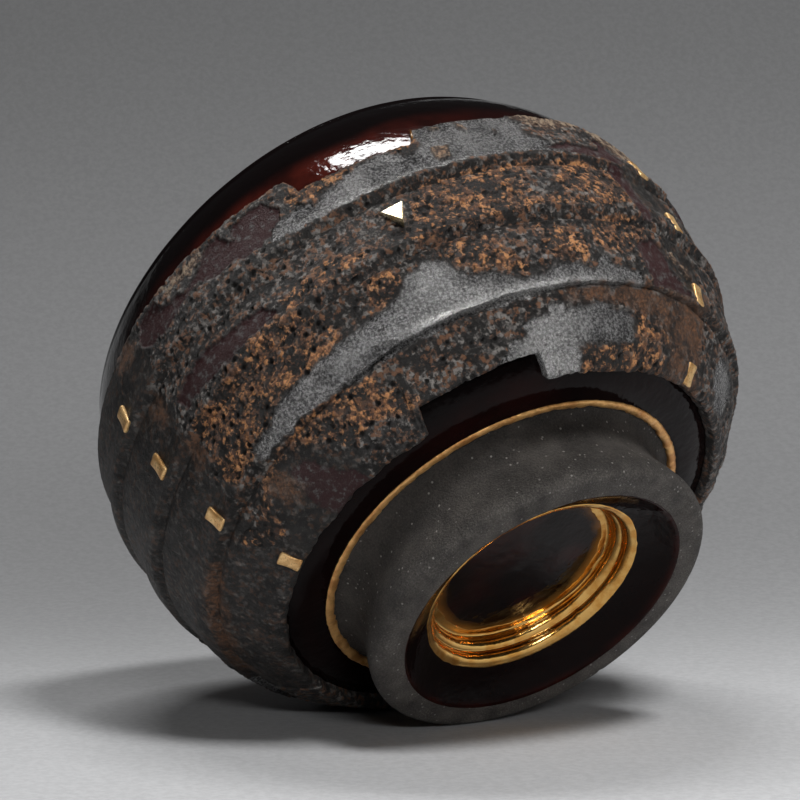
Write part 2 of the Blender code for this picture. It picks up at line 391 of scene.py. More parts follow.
def clayMaterial():
    c = clayFinish
    material, tree, shader, place = startMaterial("foot_clay", c["roughness"])
    broad = noiseAt(tree, place, 0.007, 4.0, 0.6)
    grain = noiseAt(tree, place, 0.00035, 4.0, 0.7)
    worn, = fieldsOf(tree, "worn")
    tone = weighed(tree, ranged(tree, broad, 0.3, 0.7, 0.0, 0.40), ranged(tree, grain, 0.35, 0.75, 0.0, 0.45),
                   (worn, 0.35), clamp=True)
    wornHere = times(tree, worn, ranged(tree, grain, 0.46, 0.74, 0.10, 0.75))
    base = blended(tree, wornHere, blended(tree, tone, c["dark"], c["light"]), c["worn"])
    away, pick = cellsAt(tree, place, 0.0011)[:2]
    speck = times(tree, ranged(tree, away, 0.24, 0.12), ranged(tree, pick, 0.72, 0.78))
    tree.links.new(blended(tree, speck, base, c["grit"]), shader.inputs["Base Color"])
    bumped(tree, shader, weighed(tree, grain, (noiseAt(tree, place, 0.0014, 3.0), 0.8)), c["bump"])
    return material


def goldMaterial(name, light, dark, roughness, waver, metallic=1.0):
    material, tree, shader, place = startMaterial(name, roughness, metallic)
    broad = noiseAt(tree, place, 0.0028, 4.0, 0.6)
    fine = noiseAt(tree, place, 0.0005, 3.0, 0.6)
    tree.links.new(blended(tree, ranged(tree, broad, 0.36, 0.60), dark, light), shader.inputs["Base Color"])
    tree.links.new(ranged(tree, fine, 0.3, 0.7, roughness * 0.8, roughness * 1.25), shader.inputs["Roughness"])
    bumped(tree, shader, weighed(tree, broad, (fine, 0.5)), waver, 0.8)
    return material


def amberMaterial():
    material, tree, shader, place = startMaterial("amber_glaze", 0.12)
    tone = noiseAt(tree, place, 0.002)
    tree.links.new(blended(tree, tone, (0.10, 0.035, 0.006), (0.32, 0.145, 0.028)), shader.inputs["Base Color"])
    shader.inputs["Coat Weight"].default_value = 0.6
    return material


slipCrust = crustMaterial()
oxbloodGlaze = glazeMaterial()
footClay = clayMaterial()
brightGold = goldMaterial("bright_gold", (1.0, 0.60, 0.19), (0.82, 0.40, 0.09), 0.17, 0.00006)
softGold = goldMaterial("soft_gold", (1.0, 0.56, 0.20), (0.66, 0.30, 0.09), 0.36, 0.00016, 0.55)
plateGold = goldMaterial("plate_gold", (1.0, 0.66, 0.30), (0.66, 0.36, 0.13), 0.32, 0.00018, 0.50)
chipGold = goldMaterial("chip_gold", (1.0, 0.92, 0.70), (0.98, 0.80, 0.45), 0.28, 0.00003, 0.8)
amberGlaze = amberMaterial()
print("finishes made")


# levels of the crust's ledges round the bowl
crust = {
    "edgeHeight": 17.3,
    "terraces": (11.1, 14.4, 14.0, 13.8),
    "thickLip": 2.2,
    "thin": 1.1,
    "uneven": 0.22,
    "ledgeWaves": (((0.5, 2, -15.0),), ((0.9, 2, -5.0),), ((0.4, 2, -60.0),)),
    "topWaves": ((0.8, 2, -35.0),),
    "lowerSteps": ((-16.0, 13.6, 2.7), (117.0, 139.0, 2.6)),
    "upperSteps": ((-13.6, 10.1, -4.1), (150.0, 171.0, -3.0), (208.0, 221.0, -1.8)),
    "stepRamp": 0.70,
    "fineFrom": -116.0, "fineTo": 66.0, "fineStep": 0.21, "coarseStep": 0.62,
    "rowStep": 0.265,
}


def stepped(turn, steps):
    total = np.zeros_like(turn)
    for start, end, height in steps:
        away = awayFrom(turn, 0.5 * (start + end))
        share = (0.5 * (end - start) + crust["stepRamp"] - away) / (2.0 * crust["stepRamp"])
        total += height * np.clip(share, 0.0, 1.0)
    return total


def topEdge(turn):
    mean = crust["edgeHeight"] + sum(crust["terraces"])
    return waved(turn, mean, crust["topWaves"]) + stepped(turn, crust["upperSteps"])


def levelsAt(turn):
    # lower edge, three ledges and upper edge
    levels = [crust["edgeHeight"] + stepped(turn, crust["lowerSteps"])]
    height = crust["edgeHeight"]
    for rise, waves in zip(crust["terraces"], crust["ledgeWaves"]):
        height += rise
        levels.append(waved(turn, height, waves))
    return levels + [topEdge(turn)]


# glazed body
body = {
    "columns": 480, "outerRows": 84, "rimRows": 10, "insideRows": 46, "ripple": 0.05,
    "hidden": ((29.0, 13.2), (30.4, 15.6), (33.4, 16.5), (35.2, 16.5), (35.5, 16.1)),
    "underside": ((35.75, 16.0), (36.1, 15.90), (36.7, 15.88)),
    "redMiddle": -14.0, "lowRedMiddle": -2.0, "insideRed": 0.25,
}


def bodyPoints(turn):
    rim = waved(turn, bowl["rimHeight"], bowl["rimWaves"])
    radii, levels = [], []

    def row(radius, level):
        radii.append(radius + 0.0 * turn)
        levels.append(level + 0.0 * turn)

    for radius, level in body["hidden"] + body["underside"]:
        row(radius, level)
    span = bowl["bellyHeight"] - bowl["underside"]
    shoulder = rim - 0.5 * bowl["lip"]
    for share in np.linspace(0.0, 1.0, body["outerRows"]):
        # even steps along the curve: by angle up to the belly, by height above it
        if share < 0.5:
            swing = math.radians(90.0 * share / 0.5)
            radius = bowl["cornerRadius"] + (bowl["bellyRadius"] - bowl["cornerRadius"]) * math.sin(swing)
            row(radius, bowl["bellyHeight"] - span * math.cos(swing))
        else:
            level = bowl["bellyHeight"] + (shoulder - bowl["bellyHeight"]) * (share - 0.5) / 0.5
            row(wallRadius(level), level)
    middle = wallRadius(shoulder) - 0.5 * bowl["lip"]
    for swing in np.radians(np.linspace(15.0, 165.0, 11)):
        row(middle + 0.5 * bowl["lip"] * math.cos(swing), shoulder + 0.5 * bowl["lip"] * math.sin(swing))
    half = body["insideRows"] // 2
    for share in np.linspace(0.0, 1.0, half, endpoint=False):
        level = shoulder + (bowl["bellyHeight"] - shoulder) * share
        row(wallRadius(level) - wallThickness(level), level)
    depth = bowl["bellyHeight"] - bowl["insideFloor"]
    reach = bowl["bellyRadius"] - bowl["wall"]
    for swing in np.radians(np.linspace(90.0, 3.0, half)):
        row(reach * math.sin(swing), bowl["bellyHeight"] - depth * math.cos(swing))
    return placed(turn, np.array(radii), np.array(levels))


def makeBody():
    turn = turns(body["columns"])
    points = bodyPoints(turn)
    swell = lumps(points, 9.0, 3) + 0.5 * lumps(points, 4.0, 4)
    points = points + outwardOf(points, (0.0, 0.0)) * (swell * body["ripple"])[..., None]
    outside = np.arange(len(points))[:, None] < body["outerRows"] + body["rimRows"]
    level = points[..., 2] + 1.2 * lumps(points, 11.0, 5)
    aside = awayFrom(turn, body["redMiddle"])
    red = smooth(24.0, 34.0, level) * smooth(77.5, 72.0, level) * (0.22 + 0.78 * smooth(44.0, 12.0, aside))
    red *= 0.8 + 0.35 * lumps(points, 16.0, 6)
    lowRed = smooth(18.5, 16.5, level) * (0.35 + 0.65 * smooth(30.0, 8.0, awayFrom(turn, body["lowRedMiddle"])))
    inside = body["insideRed"] * (1.0 + lumps(points, 16.0, 7))
    red = np.where(outside, np.maximum(red, 0.13 * lowRed), inside)
    dull = smooth(26.0, 20.0, points[..., 2]) * outside
    low, high = lathed(np.zeros(1), [(0.0, body["hidden"][0][1]), (0.0, bowl["insideFloor"])])[:, 0]
    mesh = ringMesh("body_glaze", points, startPole=low, endPole=high, fields={"red": red, "dull": dull})
    settle(newPiece("body_glaze", mesh, oxbloodGlaze))


makeBody()


# foot ring, with the underside as far as the gold line
foot = {
    "columns": 480, "grain": 0.035, "turning": 0.03, "chips": 0.16, "faceInner": 28.0, "lineInner": 34.4,
    "hidden": ((12.0, 10.8), (17.5, 10.2), (19.5, 8.0), (21.4, 5.0), (24.5, 2.9), (27.0, 0.95)),
    "innerLip": ((27.55, 0.42), (27.85, 0.18), (28.1, 0.05)),
    "underLine": ((34.9, 16.32), (35.1, 16.7), (20.0, 16.7)),
}


def makeFoot():
    turn = turns(foot["columns"])
    edge, radius, lineInner = bowl["footEdgeRound"], bowl["footRadius"], foot["lineInner"]
    profile = [*foot["hidden"], *foot["innerLip"]]
    worn = [0.0] * len(foot["hidden"]) + [0.6, 1.0, 1.0]
    for share in np.linspace(0.12, 1.0, 7):
        profile.append((foot["faceInner"] + share * (radius - edge - foot["faceInner"]), 0.0))
        worn.append(1.0)
    for swing in np.radians(np.linspace(11.0, 90.0, 8)):
        profile.append((radius - edge * (1.0 - math.sin(swing)), edge * (1.0 - math.cos(swing))))
        worn.append(1.0 - 0.6 * math.degrees(swing) / 90.0)
    waistRadius = radius - bowl["footWaist"]
    waistHeight = edge + bowl["waistShare"] * (bowl["footHeight"] - edge)
    for share in np.linspace(0.06, 1.0, 16):
        ease = share * share * (3.0 - 2.0 * share)
        profile.append((radius - bowl["footWaist"] * ease, edge + (waistHeight - edge) * share))
        worn.append(0.3 * (1.0 - share))
    for swing in np.radians(np.linspace(6.0, 88.0, 14)):
        profile.append((lineInner - (lineInner - waistRadius) * math.cos(swing),
                        waistHeight + (bowl["footHeight"] - waistHeight) * math.sin(swing)))
        worn.append(0.0)
    profile = np.array(profile + [*foot["underLine"]])
    worn = np.array(worn + [0.0] * len(foot["underLine"]))[:, None]
    points = lathed(turn, profile)
    level = points[..., 2]
    rings = lumps(np.stack([0.0 * level, 0.0 * level, level], -1), 0.9, 11)
    rough = foot["grain"] * (lumps(points, 0.8, 12) + 0.7 * lumps(points, 2.4, 13)) + foot["turning"] * rings
    free = smooth(0.05, 1.2, level) * smooth(16.2, 15.4, level)
    points = points + outwardOf(points, bowl["footAxis"]) * (rough * free)[..., None]
    chip = smooth(0.52, 0.80, lumps(points, 1.9, 14)) * smooth(2.6, 0.2, level) * smooth(27.6, 28.2, profile[:, :1])
    points[..., 2] += foot["chips"] * chip
    worn = worn * (0.55 + 0.45 * lumps(points, 2.2, 15)) + 0.0 * turn
    low, high = [*bowl["footAxis"], profile[0, 1]], [*bowl["footAxis"], profile[-1, 1]]
    mesh = ringMesh("foot_clay", points, startPole=low, endPole=high, fields={"worn": worn})
    settle(newPiece("foot_clay", mesh, footClay))


makeFoot()


# the well inside the foot: glazed slope and floor, and the gold moulding between them
well = {
    "columns": 400, "lipRadius": 28.0, "beadRadius": 20.95, "slopeDepth": 4.5, "slopeHollow": 0.5,
    "beadRun": 1.25, "beadDepth": 2.2, "beadBulge": 0.62, "cove": 0.6, "depth": 9.5,
    "goldProud": 0.10, "goldSpread": 1.3, "amberReach": 3.0,
    "wellBack": [(27.97, 0.14), (27.9, 0.6), (24.0, 3.6), (20.6, 6.6), (18.9, 9.9), (12.0, 10.1)],
    "goldEdge": [(21.1, 4.33), (21.35, 4.22), (21.5, 4.30)],
    "goldBack": [(21.4, 4.9), (20.3, 6.6), (19.0, 8.9), (18.2, 9.9), (16.9, 9.8)],
    # small dents: degrees, radius and depth
    "dents": ((-48.0, 19.2, 0.45), (38.0, 19.5, 0.5), (-6.0, 18.4, 0.28), (152.0, 19.0, 0.4)),
    "dentLevel": 6.2, "dentSize": 0.62,
}


floorRadius = well["beadRadius"] - 2.0 * well["beadRun"] - well["cove"]


def makeWell():
    w = well
    turn = turns(w["columns"])
    floorShares = (0.12, 0.25, 0.4, 0.52, 0.62, 0.70, 0.76, 0.82, 0.88, 0.94, 0.99)
    profile = [(floorRadius * share, w["depth"]) for share in floorShares]
    profile += [(18.6, 9.2), (19.9, 6.9), (20.9, 4.75)]
    for share in np.linspace(0.0, 0.985, 16):
        hollow = w["slopeHollow"] * math.sin(math.pi * share)
        profile.append((w["beadRadius"] + (w["lipRadius"] - w["beadRadius"]) * share,
                        w["slopeDepth"] * (1.0 - share) + hollow))
    profile += w["wellBack"]
    points = lathed(turn, profile)
    radius = np.array(profile)[:, :1] + 0.0 * turn
    down = 0.04 * (lumps(points, 3.0, 21) + lumps(points, 7.0, 22))
    down[-len(w["wellBack"]):] = 0.0
    points[..., 2] += down
    red = 0.03 + 0.30 * smooth(26.6, 27.9, radius) + 0.30 * smooth(0.0, 0.8, lumps(points, 9.0, 23)) * (radius < 17)
    dull = 0.75 + 0.25 * smooth(18.0, 22.0, radius)
    amber = smooth(floorRadius - w["amberReach"], floorRadius - 0.6, radius + 0.7 * lumps(points, 2.6, 24)) \
        * (radius < floorRadius + 0.5) * 0.9
    low, high = [*bowl["footAxis"], w["depth"]], [*bowl["footAxis"], profile[-1][1]]
    mesh = ringMesh("well_glaze", points, startPole=low, endPole=high,
                    fields={"red": red, "amber": amber, "dull": dull})
    settle(newPiece("well_glaze", mesh, oxbloodGlaze))


def makeMoulding():
    w = well
    length = math.hypot(w["beadRun"], w["beadDepth"])
    profile = []
    for share in np.linspace(0.0, 1.0, 7):
        profile.append((floorRadius - w["goldSpread"] * (1.0 - share),
                        w["depth"] - w["goldProud"] * share ** 0.5 + 0.03))
    for swing in np.radians(np.linspace(15.0, 80.0, 5)):
        profile.append((floorRadius + w["cove"] * math.sin(swing),
                        w["depth"] - w["goldProud"] - w["cove"] * (1.0 - math.cos(swing))))
    for bead in (1, 0):
        for share in np.linspace(0.03, 1.0, 13):
            radius = w["beadRadius"] - w["beadRun"] * (bead + 1.0 - share)
            depth = w["slopeDepth"] + w["beadDepth"] * (bead + 1.0 - share)
            bulge = w["beadBulge"] * math.sin(math.pi * share) ** 0.75 if share < 1.0 else 0.0
            profile.append((radius - (bulge + 0.05) * w["beadDepth"] / length,
                            depth - (bulge + 0.05) * w["beadRun"] / length - 0.05))
    front = len(profile) + len(w["goldEdge"])
    profile = np.array(profile + w["goldEdge"] + w["goldBack"])
    points = lathed(turns(w["columns"]), profile)
    inner = profile[:, :1]
    outward = outwardOf(points, bowl["footAxis"])
    edge = 0.28 * lumps(points, 1.3, 31) + 0.35 * lumps(points, 4.0, 32)
    ragged = smooth(floorRadius - 0.2, floorRadius - 1.2, inner) + 0.5 * smooth(21.0, 21.4, inner)
    ragged[front:] = 0.0
    waver = 0.055 * lumps(points, 2.1, 33) + 0.07 * lumps(points, 5.5, 34)
    firm = smooth(floorRadius - 0.8, floorRadius + 0.4, inner)
    points = points + outward * (edge * ragged + waver * firm)[..., None]
    points[..., 2] += 0.6 * waver * firm
    for angle, radius, size in w["dents"]:
        spot = lathed(np.array([angle]), [(radius, w["dentLevel"])])[0, 0]
        away = np.linalg.norm(points[:front] - spot, axis=-1, keepdims=True)
        points[:front] -= outward[:front] * size * np.exp(-(away / w["dentSize"]) ** 2)
    mesh = ringMesh("gold_moulding", points, closed=True)
    settle(newPiece("gold_moulding", mesh, brightGold))


goldLine = {
    "columns": 900,
    "profile": ((34.05, 16.38), (34.16, 16.02), (34.42, 15.76), (34.86, 15.64), (35.30, 15.64), (35.68, 15.74),
                (35.90, 15.94), (35.96, 16.4), (35.3, 16.7), (34.7, 16.7)),
    "looseness": (1.0, 1.0, 0.8, 0.4, 0.0, 0.3, 0.4, 0.4, 0.0, 0.0),
    "frontRows": 7,
}


def makeGoldLine():
    points = lathed(turns(goldLine["columns"]), goldLine["profile"])
    loose = np.array(goldLine["looseness"])[:, None]
    sideways = loose * (0.26 * lumps(points, 0.9, 41) + 0.20 * lumps(points, 3.0, 42))
    points = points + outwardOf(points, bowl["footAxis"]) * sideways[..., None]
    front = np.arange(len(loose))[:, None] < goldLine["frontRows"]
    points[..., 2] += 0.13 * lumps(points, 0.8, 43) * front
    settle(newPiece("gold_line", ringMesh("gold_line", points, closed=True), softGold))


makeWell()
makeMoulding()
makeGoldLine()


# the crust's patches: kind, and the corners of each as (degrees round the bowl, height in mm)
crustPatches = [
    # top terrace
    ("oxblood", (-51, 69.8), (-46, 70.2), (-44, 66.5), (-38, 64.8), (-34, 67), (-32, 69.5), (-29, 69.8), (-27, 66.5),
     (-25, 69.6), (-19, 69), (-17.3, 66), (-18, 63), (-20, 60.2), (-26, 59.6), (-28, 61.5), (-32, 61), (-36, 64),
     (-40, 63), (-45, 61.5), (-50, 62.5), (-53, 65)),
    ("tan", (-43, 70.8), (-38, 71.8), (-33.5, 71.8), (-32.8, 68.6), (-36.5, 66.8), (-40, 68.4), (-42, 67.5)),
    ("crumb", (-43, 72), (-14, 72.5), (-13, 69.5), (-17, 69.5), (-24, 70.3), (-33, 69.8), (-42, 69.5)),
    ("silver", (-20.2, 62.5), (-15, 63), (-11, 62.6), (-7.5, 63.6), (-3, 65.4), (4, 66.0), (7, 63.2), (10, 65),
     (10.2, 73), (15, 73), (29, 71), (31, 67.5), (30, 63), (34, 60.5), (35, 57.6), (10, 57.4), (-14, 57.4),
     (-21, 58.6)),
    ("rust", (-16, 68), (-13.2, 70.2), (-12.6, 67.2), (-3, 67.2), (-2.6, 64.8), (-5, 64.2), (-8, 62.9), (-9.5, 63.6),
     (-11.4, 61.6), (-12.6, 63.4), (-15.2, 64.2)),
    ("rust", (3.4, 67), (9.6, 67), (9.4, 64.4), (8.2, 62.4), (6.2, 63.4), (4.4, 65.2)),
    ("chip", (10.4, 62.8), (12.2, 63.0), (14.2, 62.6), (13.6, 61), (13.6, 59.5), (10.9, 59.3), (10.6, 61)),
    ("chip", (17.8, 69.2), (19.2, 68.2), (19.9, 66.6), (19.4, 65.7), (18.6, 66.4), (17.9, 67.6)),
    ("chip", (13.2, 69.2), (15.4, 68.5), (15.3, 67.7), (14, 67.8)),
    ("chip", (23.6, 64.6), (24.8, 64.3), (24.6, 63.4), (23.8, 63.6)),
    ("tan", (29, 71.5), (46, 71.5), (46, 68.2), (40, 66.4), (36, 65.8), (33, 66.6), (31, 68.2)),
    ("oxblood", (32, 59.4), (38, 60.4), (46, 60.6), (49, 66), (51, 66), (52, 60), (50, 57), (37, 57.6)),
    ("tan", (47.5, 68), (54, 70), (62, 70), (62, 63), (56, 63), (52, 65)),
    ("brown", (-60, 71), (-56, 71), (-54, 67.5), (-53.6, 61.5), (-56, 59.6), (-58.6, 61.5), (-60, 67)),
    ("char", (-115, 78), (-61, 78), (-61, 57), (-115, 57)),
    ("char", (-61, 66), (-53.5, 66), (-51, 61), (-52, 57), (-61, 57)),
    # second terrace from the top
    ("char", (-115, 58), (-55, 58), (-53, 50), (-55, 43), (-115, 43)),
    ("brown", (-58.2, 55), (-55, 55.5), (-53.6, 52), (-54.6, 49), (-57.5, 49)),
    ("oxblood", (-51, 49.2), (-43, 51.6), (-38, 50.2), (-28, 49.2), (-26.8, 45.6), (-38, 45.6), (-50, 46)),
    ("crumb", (-26, 55.6), (-17, 56), (-4, 56), (-3, 52.6), (-2.4, 48.6), (-7.8, 46.4), (-9, 44.6), (-26.6, 44.6),
     (-25.6, 50)),
    ("rust", (-25, 47.4), (-16, 48.6), (-9, 47), (-8.6, 44.6), (-25, 44.4)),
    ("rust", (2, 52.6), (5, 55.6), (18, 55.2), (28, 55), (36, 55.6), (44.6, 55), (45.6, 50), (45.2, 45.4), (38, 43.6),
     (10, 43.2), (0, 43.2), (-4, 45), (-1.6, 47), (1.8, 49.4)),
    ("crumb", (22, 50), (27, 54.6), (33.5, 54.6), (32, 51.6), (29, 50.4), (30, 46.5), (36, 47), (37, 45.4), (24, 45.6)),
    ("oxblood", (45.6, 56.5), (50, 56.5), (50.4, 49), (48.8, 42.4), (46, 42.4), (45.8, 49)),
    ("char", (50.2, 57), (62, 57), (62, 50), (58, 46.5), (52, 45.4), (49.6, 47)),
    # third terrace
    ("char", (-115, 44), (-54, 44), (-55, 37), (-57, 33), (-54, 31), (-53.5, 28), (-115, 28)),
    ("brown", (-56.6, 43), (-54.2, 43.4), (-53.4, 39), (-54.6, 35.4), (-56.4, 36.6)),
    ("rust", (-52, 43.6), (-46, 42.6), (-40, 45), (-30, 45.4), (-24, 43.5), (-21, 40.5), (-19.6, 35), (-24, 33.8),
     (-30, 33.4), (-37, 33.4), (-39, 31.6), (-44.6, 31.1), (-46, 29.6), (-52.6, 29.4), (-54.4, 32), (-52, 36.2)),
    ("rust", (-12.5, 41.4), (-7, 41), (-5.8, 38.6), (-8, 36.6), (-10.4, 35.4), (-13.4, 35.2), (-12.6, 38)),
    ("silver", (-45.4, 31), (-39.2, 31.3), (-37, 33.1), (-30.4, 33.2), (-24, 33.6), (-20, 34.5), (-15.6, 34.6),
     (-10, 34.9), (-6.6, 37), (-5.4, 38.4), (-1.8, 39.2), (1.4, 38.6), (2.6, 37), (5.2, 33.9), (9.8, 32.6),
     (13.6, 30.7), (19.6, 30.9), (23.6, 32), (26.6, 31.4), (29.6, 30.3), (32.4, 33.2), (34.8, 30.9), (40.6, 30.5),
     (41, 27.8), (16, 27.6), (-16, 27.6), (-46, 28.6)),
    ("rust", (1.6, 40), (4.4, 41), (8.6, 40.2), (12.4, 40.4), (12.6, 37), (16.4, 33.6), (15.6, 31.6), (12.4, 32.4),
     (10, 34.2), (6.2, 34.4), (4.6, 36.6), (2.2, 38.4)),
    ("crumb", (12.8, 40), (19.6, 40), (20.2, 31.4), (16.8, 31.2), (17, 34), (13, 37)),
    ("rust", (20, 40), (23, 41), (31, 36.6), (29, 32.4), (27.6, 31.9), (22.4, 32.4), (20.4, 34)),
    ("rust", (33, 40.4), (38, 42), (44.6, 42.2), (47.4, 39.4), (43, 36.2), (38.6, 35), (36, 33.4), (31.6, 35.4)),
    ("oxblood", (42.6, 36.2), (47.2, 38.6), (50.2, 36.4), (50.6, 31.4), (55.6, 29.4), (55, 28.2), (44, 28.4),
     (41.8, 33)),
    ("char", (50.8, 39.4), (55.6, 40.6), (62, 38), (62, 29.4), (56, 29.8), (51.4, 31.8)),
    ("tan", (51.6, 36), (53.2, 37.4), (55, 36), (54, 34.6)),
    ("chip", (54.2, 34.6), (56.6, 34.7), (57.2, 33), (55.6, 32.2), (54, 33)),
    # lowest terrace
    ("char", (-115, 30), (-60, 30), (-58, 26), (-60, 20), (-60, 15), (-115, 15)),
    ("brown", (-110, 27.6), (-72, 28.6), (-72, 26.4), (-84, 25.0), (-110, 24.8)),
    ("rust", (-64, 24.4), (-60, 24.8), (-56, 22.4), (-52, 25), (-47, 27.4), (-40, 28), (-36, 28.4), (-33, 28.6),
     (-26, 27.8), (-20, 27.4), (-19.6, 24.6), (-16, 23), (-13, 20.4), (-18.4, 19.8), (-24, 21.4), (-30, 21.3),
     (-33, 23), (-36.4, 25), (-46, 25.9), (-50.4, 24.6), (-55, 20.6), (-60, 20.6)),
    ("char", (-60, 20.2), (-55, 20.4), (-50.5, 24.6), (-46, 26.2), (-38, 26.4), (-36, 24.6), (-33, 22), (-31, 20.8),
     (-33, 16.5), (-60, 16.5)),
    ("oxblood", (-43.6, 24.2), (-40.2, 24), (-37, 21), (-32.5, 17), (-45, 17), (-46, 20)),
    ("brown", (-50, 25), (-45.8, 25.6), (-43.6, 21.4), (-46, 21), (-48.4, 22)),
    ("silver", (1.6, 19.8), (5.8, 20.8), (8.2, 22.4), (10.2, 21.6), (11.2, 22.6), (10.8, 24), (14.2, 24.2),
     (17.2, 24), (17.8, 25.8), (20.8, 25.7), (21.2, 24.4), (24, 24.6), (29.8, 25), (34.8, 23.9), (37.4, 22.9),
     (37.4, 20.2), (30, 19.6), (24.4, 19.7), (22.6, 17.6), (20.4, 15.8), (12.6, 16.5), (0.4, 18.4)),
    ("rust", (23, 19.2), (26.6, 19.6), (33, 19.2), (38.2, 20.2), (46, 20.2), (48, 18.4), (46, 16.5), (24, 16.5)),
    ("rust", (38, 22.8), (39.2, 24.4), (42.6, 22.4), (47.4, 21.6), (50, 19.6), (46, 20.4), (38.4, 20.6)),
    ("brown", (22, 28.2), (62, 28), (62, 17), (50, 17), (50, 20.6), (44, 23.4), (37.4, 24.4), (30, 25.8), (22, 25.8)),
]
raised = {"crumb": 1.0, "rust": 1.0, "tan": 1.0, "chip": 1.6, "brown": 0.45, "char": 0.25, "oxblood": 0.0,
          "silver": 0.0}
roughened = {"crumb": 0.85, "rust": 1.0, "tan": 0.8, "chip": 0.5, "brown": 0.50, "char": 0.20, "oxblood": 0.22,
             "silver": 0.10}
softness = {"crumb": 0.5, "rust": 0.22, "tan": 0.3, "chip": 0.12, "brown": 1.3, "char": 1.1, "oxblood": 0.22,
            "silver": 0.14}


def hiddenPatches():
    # the side that the photo doesn't show: the same kinds, laid out by a fixed seed
    dice = np.random.default_rng(28)
    kinds = ["rust", "silver", "char", "oxblood", "rust", "brown", "silver", "crumb", "tan", "char"]
    patches = []
    for number in range(74):
        kind = kinds[number % len(kinds)]
        middle = dice.uniform(66.0, 240.0)
        level = dice.uniform(18.0, 76.0) if kind != "tan" else dice.uniform(68.0, 76.0)
        wide, tall = dice.uniform(5.0, 17.0), dice.uniform(2.0, 5.0)
        corners = []
        for swing in np.radians(np.arange(0.0, 360.0, 30.0)):
            reach = dice.uniform(0.65, 1.15)
            corners.append((middle + wide * reach * math.cos(swing), level + tall * reach * math.sin(swing)))
        patches.append((kind, *corners))
    return patches


def distanceInto(turn, level, corners, scale):
    # mm inside a patch's outline, negative outside it
    corners = np.array(corners, dtype=float)
    near = np.full(turn.shape, 1e9)
    inside = np.zeros(turn.shape, dtype=bool)
    for first, second in zip(corners, np.roll(corners, -1, axis=0)):
        ax, ay = (turn - first[0]) * scale, level - first[1]
        bx, by = (second[0] - first[0]) * scale, second[1] - first[1]
        share = np.clip((ax * bx + ay * by) / (bx * bx + by * by + 1e-9), 0.0, 1.0)
        near = np.minimum(near, np.hypot(ax - share * bx, ay - share * by))
        crosses = (first[1] > level) != (second[1] > level)
        with np.errstate(divide="ignore", invalid="ignore"):
            cut = first[0] + (level - first[1]) * (second[0] - first[0]) / (second[1] - first[1])
        inside ^= crosses & (turn < cut)
    return np.where(inside, near, -near)


def crustKinds(turn, level, points):
    # how much of each kind of crust a point has, how high it stands, and where a painted shadow line runs along a
    # patch's edge
    turn = (turn + 115.0) % 360.0 - 115.0
    scale = wallRadius(level) * math.pi / 180.0
    wideWarp = np.stack([lumps(points, 1.7, 51), lumps(points, 1.7, 52)])
    fineWarp = np.stack([lumps(points, 0.62, 53), lumps(points, 0.62, 54)])
    kinds = {kind: np.zeros(turn.shape) for kind in raised}
    kinds["crumb"] += 1.0
    paintedEdgeShadow = np.zeros(turn.shape)
    for kind, *corners in crustPatches + hiddenPatches():
        blur = softness[kind]
        reach = 1.4 + blur
        low, high = np.min(corners, axis=0), np.max(corners, axis=0)
        here = (turn > low[0] - 2.6 * reach) & (turn < high[0] + 2.6 * reach)
        here &= (level > low[1] - reach) & (level < high[1] + reach)
        if not here.any():
            continue
        bend = (0.55 if blur < 1.0 else 0.9) * wideWarp[:, here] + 0.30 * fineWarp[:, here]
        depth = distanceInto(turn[here] + bend[0] / scale[here], level[here] + bend[1], corners, scale[here])
        share = smooth(-blur, blur, depth)
        for other in kinds:
            kinds[other][here] *= 1.0 - share
        kinds[kind][here] += share
        # a painted shadow line along the outline of silver, oxblood and chip patches
        if kind in ("silver", "oxblood", "chip"):
            line = np.exp(-((depth - 0.02) / 0.20) ** 2) * (0.55 if kind == "oxblood" else 1.0)
            paintedEdgeShadow[here] = np.maximum(paintedEdgeShadow[here] * (1.0 - share), line)
        else:
            paintedEdgeShadow[here] *= 1.0 - share
    lift = sum(raised[kind] * kinds[kind] for kind in kinds)
    rough = sum(roughened[kind] * kinds[kind] for kind in kinds)
    return kinds, lift, rough, paintedEdgeShadow


def columnTurns():
    fine = np.arange(crust["fineFrom"], crust["fineTo"], crust["fineStep"])
    rest = 360.0 - (crust["fineTo"] - crust["fineFrom"])
    count = int(round(rest / crust["coarseStep"]))
    return np.concatenate([fine, crust["fineTo"] + (np.arange(count) + 0.5) * rest / count])


def skirtOf(ledge, turn):
    # how far down the slope under a ledge reaches: long and soft, or short where it breaks off sharply
    turn = (turn + 115.0) % 360.0 - 115.0
    if ledge == 1:
        sharp = smooth(-26.0, -12.0, turn) * smooth(66.0, 52.0, turn)
        return 1.7 - 1.3 * sharp + 0.5 * smooth(-60.0, -80.0, turn)
    return (0.0, 0.0, 2.5, 2.2)[ledge] + 0.0 * turn


def thicknessAt(turn, share):
    swell = crust["uneven"] * np.cos(5.0 * np.radians(turn) + 9.0 * share)
    return crust["thin"] + (crust["thickLip"] - crust["thin"]) * (1.0 - share) ** 2 + swell


